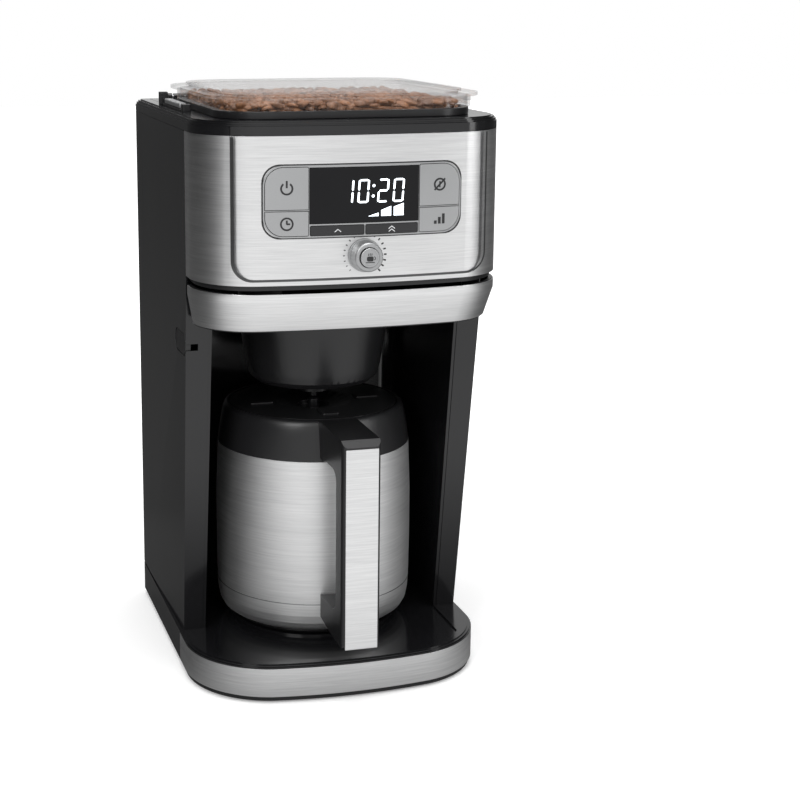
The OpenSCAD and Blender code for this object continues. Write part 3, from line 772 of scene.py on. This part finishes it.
def dress(piece: bpy.types.Object, material: bpy.types.Material, body: str) -> None:
    """Gives a piece its material and its body, and reports it.

    Args:
        piece: The piece.
        material: Its material.
        body: The body it moves with.
    """
    piece.data.materials.clear()
    piece.data.materials.append(material)
    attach(piece, body)
    log.info("%s rides on %s, %d faces", piece.name, body, len(piece.data.polygons))


# ---- sub-assemblies ----


@dataclass
class Casing:
    """The frame's own nodes: each gets its finish, and the ones seen close get rounded edges."""

    finishes: Finishes
    rounded: Tuple[Tuple[str, float], ...] = (
        ("steel_fascia", 0.35), ("basket_band", 0.5), ("base_band", 0.3), ("top_deck", 0.4),
        ("control_bezel", 0.25), ("power_key", 0.3), ("program_key", 0.3), ("grinder_off_key", 0.3),
        ("strength_key", 0.3), ("hour_key", 0.2), ("minute_key", 0.2), ("display_window", 0.15),
        ("grind_dial", 0.35), ("brew_button", 0.3), ("carafe_handle", 1.1), ("handle_inlay", 0.4),
        ("carafe_lid", 0.8), ("carafe_collar", 0.5), ("base_shell", 0.8), ("left_side_panel", 0.8),
        ("right_side_panel", 0.8), ("rear_cover", 0.5), ("release_button", 0.6), ("hopper", 0.5),
        ("latch_slider", 0.3), ("latch_rail", 0.3), ("reservoir_lid", 0.4), ("basket_holder", 0.4),
        ("rubber_feet", 0.3), ("lid_valve", 0.4),
    )

    def build(self) -> None:
        """Dresses all nodes."""
        widths = dict(self.rounded)
        slots = {row["node"]: row["material_slot"] for row in frame["record"]["subparts"]}
        body_of = {n: b for b, nodes in frame["record"]["behaviour"]["bodies"].items() for n in nodes}
        for node, slot in slots.items():
            if node == "bean_charge":
                continue
            material = self.finishes.use(CARAFE_STEEL) if node == "carafe_shell" else self.finishes.slot(slot)
            if node in widths:
                dress(softened(node, widths[node] * MM), material, body_of[node])
            else:
                source = frame["nodes"][node]
                source.data.materials.clear()
                source.data.materials.append(material)
                log.info("%s keeps its mesh, finish %s", node, material.name)


@dataclass
class BeanFill:
    """Loose roasted beans in the hopper, over a dark bed."""

    finishes: Finishes
    length: float = 9.4 * MM
    width: float = 6.8 * MM
    height: float = 4.6 * MM
    step: float = 5.6 * MM
    layers: int = 3
    seed: int = 20

    def one_bean(self) -> bpy.types.Object:
        """Models one bean with its groove."""
        clear_selection()
        bpy.ops.mesh.primitive_uv_sphere_add(segments=10, ring_count=6, radius=0.5)
        bean = bpy.context.object
        for vertex in bean.data.vertices:
            co = vertex.co
            if co.z > 0:
                co.z *= 0.55
                if abs(co.y) < 0.12:
                    co.z -= 0.16
            co.x *= 1 - 0.12 * abs(co.x)
        bean.scale = (self.length, self.width, self.height)
        settle(bean)
        bpy.ops.object.shade_smooth()
        return bean

    def build(self) -> None:
        """Scatters the beans and joins them into one piece."""
        low, high = (Vector(corner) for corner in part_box("bean_charge"))
        draw = random.Random(self.seed)
        master = self.one_bean()
        copies: List[bpy.types.Object] = []
        margin = self.length / 2
        for layer in range(self.layers):
            top = high.z - self.height * 0.55 - layer * self.height * 0.62
            nx = int((high.x - low.x - 2 * margin) / self.step) + 1
            ny = int((high.y - low.y - 2 * margin) / (self.step * 1.1)) + 1
            for i in range(nx):
                for j in range(ny):
                    x = low.x + margin + (i + draw.uniform(-0.4, 0.4)) * self.step
                    y = low.y + margin + (j + draw.uniform(-0.4, 0.4)) * self.step * 1.1
                    x = min(max(x, low.x + margin), high.x - margin)
                    y = min(max(y, low.y + margin), high.y - margin)
                    if math.hypot(max(abs(x) - high.x + 14 * MM, 0),
                                  max(low.y + 14 * MM - y, y - high.y + 14 * MM, 0)) > 12 * MM:
                        continue
                    mesh = master.data.copy()
                    turn = Euler((draw.uniform(-0.6, 0.6) + (math.pi if draw.random() < 0.5 else 0),
                                  draw.uniform(-0.5, 0.5), draw.uniform(0, 2 * math.pi)))
                    size = draw.uniform(0.86, 1.08)
                    mesh.transform(Matrix.Translation((x, y, top + draw.uniform(-1.2, 0.9) * MM))
                                   @ turn.to_matrix().to_4x4() @ Matrix.Scale(size, 4))
                    shade = mesh.attributes.new("roast", "FLOAT", "POINT")
                    tone = draw.random()
                    for item in shade.data:
                        item.value = tone
                    bean = bpy.data.objects.new("bean", mesh)
                    bpy.context.collection.objects.link(bean)
                    copies.append(bean)
        bpy.data.objects.remove(master)
        beans = joined(copies, "roasted_beans")
        dress(beans, self.finishes.slot("beans"), "machine")
        bed = self.bed(low, high)
        dress(bed, self.finishes.slot("beans"), "machine")
        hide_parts("bean_charge")

    def bed(self, low: Vector, high: Vector) -> bpy.types.Object:
        """Models the lumpy heap under the loose beans."""
        clear_selection()
        bpy.ops.mesh.primitive_cube_add(size=1)
        bed = bpy.context.object
        top = high.z - self.height * 2.0
        bed.scale = (high.x - low.x - 3 * MM, high.y - low.y - 3 * MM, top - low.z)
        bed.location = ((high.x + low.x) / 2, (high.y + low.y) / 2, (top + low.z) / 2)
        settle(bed)
        bpy.ops.object.mode_set(mode="EDIT")
        bpy.ops.mesh.select_all(action="SELECT")
        bpy.ops.mesh.bevel(offset=9 * MM, segments=4, affect="EDGES")
        bpy.ops.mesh.select_all(action="SELECT")
        bpy.ops.mesh.subdivide(number_cuts=5, fractal=0.0)
        bpy.ops.object.mode_set(mode="OBJECT")
        draw = random.Random(self.seed + 1)
        for vertex in bed.data.vertices:
            if vertex.co.z > top - 1 * MM:
                vertex.co.z += draw.uniform(-1.5, 1.0) * MM
        bed.name = "bean_bed"
        bpy.ops.object.shade_smooth()
        return bed


SEGMENTS: Dict[str, str] = {"0": "abcdef", "1": "bc", "2": "abged"}


@dataclass
class Display:
    """The lit digits and the strength steps behind the window."""

    finishes: Finishes
    low: float = 343.7
    high: float = 358.9
    width: float = 7.4
    line: float = 1.25
    lefts: Tuple[float, ...] = (-15.5, -5.2, 8.0, 18.4)
    colon: float = 5.1
    lean: float = 0.07
    steps: Tuple[Tuple[float, float], ...] = ((0.2, 2.2), (3.8, 6.2), (5.7, 7.9))
    step_left: float = 2.4
    step_pitch: float = 8.5
    step_base: float = 335.0
    step_width: float = 6.7

    def digit(self, left: float, figure: str) -> List[bpy.types.Object]:
        """Builds the lit segments of one figure."""
        middle = (self.low + self.high) / 2
        half = (self.high - self.low) / 4
        right, gap = left + self.width, self.line * 0.75
        across = (left + right) / 2
        edge = self.line / 2
        places = {
            "a": (across, self.high - edge, True), "g": (across, middle, True),
            "d": (across, self.low + edge, True),
            "b": (right - edge, middle + half, False), "c": (right - edge, middle - half, False),
            "f": (left + edge, middle + half, False), "e": (left + edge, middle - half, False),
        }
        made = []
        for name in SEGMENTS[figure]:
            x, z, level = places[name]
            size = (self.width - 2 * gap, self.line) if level else (self.line, 2 * half - gap)
            made.append(bar(x * MM, z * MM, size[0] * MM, size[1] * MM, point=self.line * 0.42 * MM))
        return made

    def build(self) -> None:
        """Builds the figures, the colon and the strength steps."""
        made: List[bpy.types.Object] = []
        for left, figure in zip(self.lefts, "1020"):
            made += self.digit(left, figure)
        for z in (348.0, 354.6):
            made.append(disc(self.colon * MM, z * MM, 0.95 * MM, sides=16))
        figures = joined(made, "clock_figures")
        for vertex in figures.data.vertices:
            vertex.co.x += (vertex.co.z - self.low * MM) * self.lean
        dress(wrap_to_face(figures, WINDOW_PROUD), self.finishes.use(LIT_WHITE), "machine")
        steps = [self.step(self.step_left + self.step_pitch * i, self.step_base, self.step_width, start, end)
                 for i, (start, end) in enumerate(self.steps)]
        wedge = joined(steps, "strength_steps")
        dress(wrap_to_face(wedge, WINDOW_PROUD), self.finishes.use(LIT_WHITE), "machine")

    def step(self, left: float, base: float, width: float, start: float, end: float) -> bpy.types.Object:
        """Builds one rising step of the strength mark."""
        height = max(start, end)
        piece = bar((left + width / 2) * MM, (base + height / 2) * MM, width * MM, height * MM)
        for vertex in piece.data.vertices:
            if vertex.co.z > (base + height / 2) * MM and vertex.co.x < (left + width / 2) * MM:
                vertex.co.z -= (end - start) * MM
        return piece


@dataclass
class Markings:
    """The generic marks on the keys, the dial and the brew button."""

    finishes: Finishes
    dish: float = 0.3 * MM

    def icon(self, kind: Icon, x: float, z: float, size: float) -> List[bpy.types.Object]:
        """Builds one mark.

        Args:
            kind: Which mark.
            x: Centre across, in millimetres.
            z: Centre up, in millimetres.
            size: Height of the mark, in millimetres.

        Returns:
            The parts of the mark.
        """
        x, z, size = x * MM, z * MM, size * MM
        line = size * 0.13
        if kind is Icon.POWER:
            return [arc(x, z, size * 0.4, line, 35, 290), bar(x, z + size * 0.3, line, size * 0.5)]
        if kind is Icon.CLOCK:
            return [arc(x, z, size * 0.45, line, 0, 360), bar(x, z + size * 0.13, line, size * 0.3),
                    bar(x + size * 0.12, z, size * 0.28, line)]
        if kind is Icon.BEAN_OFF:
            return [arc(x, z, size * 0.4, line, 0, 360), bar(x, z, line, size * 1.15, 45),
                    bar(x, z, line * 0.8, size * 0.45)]
        if kind is Icon.STEPS:
            return [bar(x + (i - 1) * size * 0.36, z - size * 0.4 + size * 0.14 * (i + 1),
                        size * 0.24, size * 0.28 * (i + 1)) for i in range(3)]
        count = 2 if kind is Icon.TWO_ARROWS else 1
        made = []
        for i in range(count):
            up = z + (i - (count - 1) / 2) * size * 0.5
            made += [bar(x - size * 0.26, up, size * 0.75, line, -38),
                     bar(x + size * 0.26, up, size * 0.75, line, 38)]
        return made

    def build(self) -> None:
        """Builds all marks."""
        ink, pale = self.finishes.use(DARK_INK), self.finishes.use(PALE_INK)
        rows = (
            ("power_mark", Icon.POWER, -51, 354, 9.0, "power_key_group", ink, "silver_plastic"),
            ("program_mark", Icon.CLOCK, -51, 331.5, 8.4, "program_key_group", ink, "silver_plastic"),
            ("grinder_off_mark", Icon.BEAN_OFF, 51, 354, 9.0, "grinder_off_key_group", ink, "silver_plastic"),
            ("strength_mark", Icon.STEPS, 51, 331.5, 7.8, "strength_key_group", ink, "silver_plastic"),
            ("hour_mark", Icon.ARROW, -18, 326.6, 3.8, "hour_key_group", pale, "dark_key"),
            ("minute_mark", Icon.TWO_ARROWS, 18, 326.6, 3.8, "minute_key_group", pale, "dark_key"),
        )
        for name, kind, x, z, size, body, material, slot in rows:
            piece = joined(self.icon(kind, x, z, size), name)
            dress(wrap_to_face(piece, KEY_PROUD), material, body)
        self.dial_ring(ink)
        self.cup(ink)

    def dial_ring(self, ink: bpy.types.Material) -> None:
        """Builds the ring of ticks that grows around the dial, from fine to coarse."""
        made = []
        for i in range(19):
            angle = math.radians(-135 + 15 * i)
            reach = (13.4 + 0.05 * i) * MM
            made.append(bar(reach * math.sin(angle), DIAL_Z + reach * math.cos(angle),
                            (0.5 + 0.03 * i) * MM, (1.0 + 0.05 * i) * MM, math.degrees(angle)))
        dress(wrap_to_face(joined(made, "grind_scale"), PANEL_PROUD), ink, "machine")

    def cup(self, ink: bpy.types.Material) -> None:
        """Builds the cup mark on the brew button's flat front."""
        made = [bar(0, DIAL_Z - 0.6 * MM, 4.4 * MM, 3.2 * MM, point=0.7 * MM),
                arc(2.5 * MM, DIAL_Z - 0.3 * MM, 1.0 * MM, 0.45 * MM, 0, 180),
                bar(0, DIAL_Z - 2.9 * MM, 6.0 * MM, 0.5 * MM)]
        made += [bar(s * 1.1 * MM, DIAL_Z + 2.2 * MM, 0.45 * MM, 1.5 * MM, 12) for s in (-1, 0, 1)]
        mark = joined(made, "cup_mark")
        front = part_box("brew_button")[0][1]
        for vertex in mark.data.vertices:
            vertex.co.y += front + self.dish
        dress(mark, ink, "brew_button_group")


@dataclass
class Trim:
    """The sloping edge of the fascia's middle panel in darkened steel as painted shade, the dark line round
    the keys, and the carafe's seam.

    Sizes are in millimetres.
    """

    finishes: Finishes
    panel_half: float = 85.0
    panel_corner: float = 13.0
    panel_above: float = 3.6
    panel_below_top: float = 0.3
    slope_width: float = 1.8
    slope_height: float = 1.05
    outline_gap: float = 0.25
    outline_corner: float = 11.25
    outline_width: float = 1.1
    seam_r: float = 70.5
    seam_z: float = 54.0
    seam_width: float = 0.5
    seam_chamfer: float = 0.12
    seam_steps: int = 128
    longest_bar: float = 3.0

    def run(self, half: float, low: float, high: float, corner: float, width: float,
            closed: bool) -> List[bpy.types.Object]:
        """Builds a strip along a rounded rectangle, in millimetres.

        Args:
            half: Half its width.
            low: Its lower edge.
            high: Its upper edge.
            corner: Corner radius.
            width: Width of the strip.
            closed: Whether the strip also runs along the top.

        Returns:
            The parts of the strip.
        """
        flat = 2 * (half - corner)
        count = round(flat / self.longest_bar)
        top = high - corner if closed else high
        tall, middle = top - low - corner, (top + low + corner) / 2
        made = [bar(side * half * MM, middle * MM, width * MM, tall * MM) for side in (-1, 1)]
        for z in (low, high) if closed else (low,):
            made += [bar((-flat / 2 + (i + 0.5) * flat / count) * MM, z * MM, flat / count * MM, width * MM)
                     for i in range(count)]
        turns = [(1, 90, low + corner), (-1, 180, low + corner)]
        if closed:
            turns += [(1, 0, high - corner), (-1, 270, high - corner)]
        made += [arc(side * (half - corner) * MM, z * MM, corner * MM, width * MM, start, 90)
                 for side, start, z in turns]
        return made

    def panel_edge(self) -> None:
        """Builds the slope that runs round the raised middle panel, in darkened steel as painted shade."""
        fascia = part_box("steel_fascia")
        low, top = fascia[0][2] / MM + self.panel_above, fascia[1][2] / MM - self.panel_below_top
        half, corner = self.panel_half, self.panel_corner
        edge = joined(self.run(half, low, top, corner, self.slope_width, False), "panel_edge")
        for vertex in edge.data.vertices:
            x, z = abs(vertex.co.x) / MM, vertex.co.z / MM
            over, under = x - (half - corner), low + corner - z
            outside = math.hypot(max(over, 0), max(under, 0)) + min(max(over, under), 0) - corner
            radius = NOSE_R + (self.slope_height - outside) * MM
            vertex.co.y += FACE_Y + NOSE_R - math.sqrt(radius ** 2 - vertex.co.x ** 2)
        dress(edge, self.finishes.use(SHADE_AND_SEAM_STEEL), "machine")

    def key_outline(self) -> None:
        """Builds the dark line round the keys and the display."""
        (x0, _, z0), (x1, _, z1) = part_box("control_bezel")
        gap = self.outline_gap
        strip = self.run((x1 - x0) / 2 / MM + gap, z0 / MM - gap, z1 / MM + gap, self.outline_corner,
                         self.outline_width, True)
        line = joined(strip, "key_outline")
        dress(wrap_to_face(line, PANEL_PROUD), self.finishes.use(DARK_INK), "machine")

    def seam(self) -> None:
        """Builds the fine seam near the foot of the carafe's shell, spun from a chamfered section."""
        clear_selection()
        bpy.ops.mesh.primitive_plane_add(size=1, rotation=(math.pi / 2, 0, 0))
        ring = bpy.context.object
        ring.scale = (self.seam_width * MM, self.seam_width * MM, 1)
        settle(ring)
        ring.location = (self.seam_r * MM, 0, self.seam_z * MM)
        settle(ring)
        bpy.ops.object.mode_set(mode="EDIT")
        bpy.ops.mesh.select_all(action="SELECT")
        bpy.ops.mesh.bevel(offset=self.seam_chamfer * MM, segments=1, affect="VERTICES")
        bpy.ops.mesh.select_all(action="SELECT")
        bpy.ops.mesh.delete(type="ONLY_FACE")
        bpy.ops.mesh.select_all(action="SELECT")
        bpy.ops.mesh.spin(steps=self.seam_steps, angle=2 * math.pi, center=(0, 0, 0), axis=(0, 0, 1))
        bpy.ops.object.mode_set(mode="OBJECT")
        outward(ring)
        ring.name = "carafe_seam"
        dress(ring, self.finishes.use(SHADE_AND_SEAM_STEEL), "carafe")

    def build(self) -> None:
        """Builds all trim."""
        self.panel_edge()
        self.key_outline()
        self.seam()


@dataclass
class Studio:
    """The pale floor, the soft lights and the camera."""

    lens: float = 74.1
    shift: Tuple[float, float] = (0.125, -0.10)
    place: Point = (-0.308, -1.12325, 0.474)
    pitch: float = 11.18
    yaw: float = 14.87
    sky_bands: Tuple[Tuple[float, float], ...] = (
        (0.0, 0.05), (0.16, 0.07), (0.32, 0.75), (0.48, 0.95), (0.60, 0.80), (0.78, 0.12), (1.0, 0.20),
    )

    def camera(self) -> None:
        """Sets the camera."""
        data = bpy.data.cameras.new("camera")
        data.lens, data.sensor_width = self.lens, 36.0
        data.shift_x, data.shift_y = self.shift
        data.dof.use_dof = False
        camera = bpy.data.objects.new("camera", data)
        camera.location = self.place
        camera.rotation_euler = (math.radians(90 - self.pitch), 0, math.radians(-self.yaw))
        bpy.context.collection.objects.link(camera)
        bpy.context.scene.camera = camera

    def lamp(self, name: str, place: Point, size: Tuple[float, float], power: float) -> None:
        """Adds a soft area light that faces the coffee maker.

        Args:
            name: Its name.
            place: Where it stands.
            size: Its width and height.
            power: Its power in watts.
        """
        data = bpy.data.lights.new(name, "AREA")
        data.shape, data.size, data.size_y, data.energy = "RECTANGLE", size[0], size[1], power
        light = bpy.data.objects.new(name, data)
        light.location = place
        light.rotation_euler = (Vector((0, 0, 0.2)) - Vector(place)).to_track_quat("-Z", "Y").to_euler()
        bpy.context.collection.objects.link(light)

    def split_view(self, graph: Graph, others: Socket,
                   seen: Union[Socket, float]) -> Socket:
        """Picks one value for what is seen directly and another for all other light.

        Args:
            graph: The tree it belongs to.
            others: The value for reflections and bounced light.
            seen: The value for what is seen directly.

        Returns:
            The value picked.
        """
        rays = graph.add("ShaderNodeLightPath")
        pick = graph.add("ShaderNodeMix", data_type="FLOAT")
        graph.link(rays.outputs["Is Camera Ray"], pick.inputs[0])
        graph.link(others, pick.inputs[2])
        if isinstance(seen, Socket):
            graph.link(seen, pick.inputs[3])
        else:
            pick.inputs[3].default_value = seen
        return pick.outputs[0]

    def floor_finish(self) -> bpy.types.Material:
        """Makes a pale floor that glows though it is no lamp: seen directly, its painted glow grows with
        distance from the machine; in reflections it gives a painted reflection, bright ahead of the machine
        and dark beside it.

        Returns:
            The material.
        """
        material, graph, shader = new_material("pale_floor")
        split = graph.add("ShaderNodeSeparateXYZ")
        graph.link(graph.coords(), split.inputs[0])
        x, y = split.outputs["X"], split.outputs["Y"]
        # Painted reflection: the glow that other rays see is bright ahead of the machine and fades beside it
        # and behind.
        ahead = graph.sums("MAXIMUM", graph.sums("MULTIPLY_ADD", y, -1.0, 0.45), 0.05)
        spread = graph.sums("DIVIDE", graph.sums("ABSOLUTE", x), ahead)
        card = graph.span(spread, (0.55, 1.7), (0.92, 0.02), soft=True)
        front = graph.span(y, (0.0, -0.30), (0.02, 1.0), soft=True)
        # Painted glow for what is seen directly: dim near the machine so the lamps' shadow shows, bright far
        # off.
        reach = graph.add("ShaderNodeVectorMath", operation="LENGTH")
        graph.link(graph.coords(), reach.inputs[0])
        shown = graph.span(reach.outputs["Value"], (0.25, 1.1), (0.26, 0.75), soft=True)
        glow = self.split_view(graph, graph.sums("MULTIPLY", card, front), shown)
        graph.link(glow, shader.inputs["Emission Strength"])
        # Painted reflection: pale where seen directly, nearly black in reflections and bounced light.
        rays = graph.add("ShaderNodeLightPath")
        colour = graph.blend(rays.outputs["Is Camera Ray"], (0.04, 0.04, 0.04), (0.90, 0.90, 0.90))
        graph.link(colour, shader.inputs["Base Color"])
        shader.inputs["Emission Color"].default_value = (1, 1, 1, 1)
        shader.inputs["Roughness"].default_value = 0.9
        return material

    def sky(self) -> None:
        """Makes a white surround whose reflections are bright in front, above and behind on the right."""
        world = bpy.data.worlds.new("studio")
        bpy.context.scene.world = world
        world.use_nodes = True
        graph = Graph(world.node_tree)
        place = graph.add("ShaderNodeTexCoord")
        split = graph.add("ShaderNodeSeparateXYZ")
        graph.link(place.outputs["Generated"], split.inputs[0])
        x, y, z = (split.outputs[axis] for axis in "XYZ")
        bands = graph.add("ShaderNodeValToRGB")
        ends = bands.color_ramp.elements
        last = len(self.sky_bands) - 1
        for index, (position, value) in enumerate(self.sky_bands):
            stop = ends[0] if index == 0 else ends.new(position) if index < last else ends[-1]
            stop.position, stop.color = position, (value, value, value, 1)
        graph.link(graph.span(x, (-1.0, 1.0), (0.0, 1.0)), bands.inputs[0])
        front = graph.sums("MULTIPLY", bands.outputs[0], graph.span(y, (0.3, -0.35), (0.10, 1.0)))
        total = graph.sums("ADD", front, graph.span(z, (0.45, 0.95), (0.0, 0.8)))
        right = graph.span(x, (-0.12, 0.12), (0.0, 0.60), soft=True)
        behind = graph.span(y, (0.55, 0.85), (0.0, 1.0))
        backdrop = graph.sums("MULTIPLY_ADD", right, behind, total)
        back = world.node_tree.nodes["Background"]
        back.inputs["Color"].default_value = (1, 1, 1, 1)
        graph.link(self.split_view(graph, backdrop, 1.0), back.inputs["Strength"])

    def build(self) -> None:
        """Builds the set."""
        self.camera()
        clear_selection()
        bpy.ops.mesh.primitive_plane_add(size=12)
        floor = bpy.context.object
        floor.name = "floor"
        floor.data.materials.append(self.floor_finish())
        self.sky()
        self.lamp("key", (-1.5, -1.7, 1.5), (0.9, 1.3), 20)
        self.lamp("fill", (1.7, -1.3, 0.9), (0.5, 1.5), 9)
        self.lamp("top", (0.0, 0.1, 2.0), (1.2, 1.2), 16)
        bpy.context.scene.view_settings.view_transform = "Standard"


def main() -> None:
    """Builds the coffee maker's looks."""
    logging.basicConfig(level=logging.INFO, format="%(message)s")
    finishes = Finishes()
    parts = (Studio(), Casing(finishes), BeanFill(finishes), Display(finishes), Markings(finishes),
             Trim(finishes))
    for part in parts:
        part.build()
        log.info("%s built", type(part).__name__)


if __name__ == "__main__":
    main()
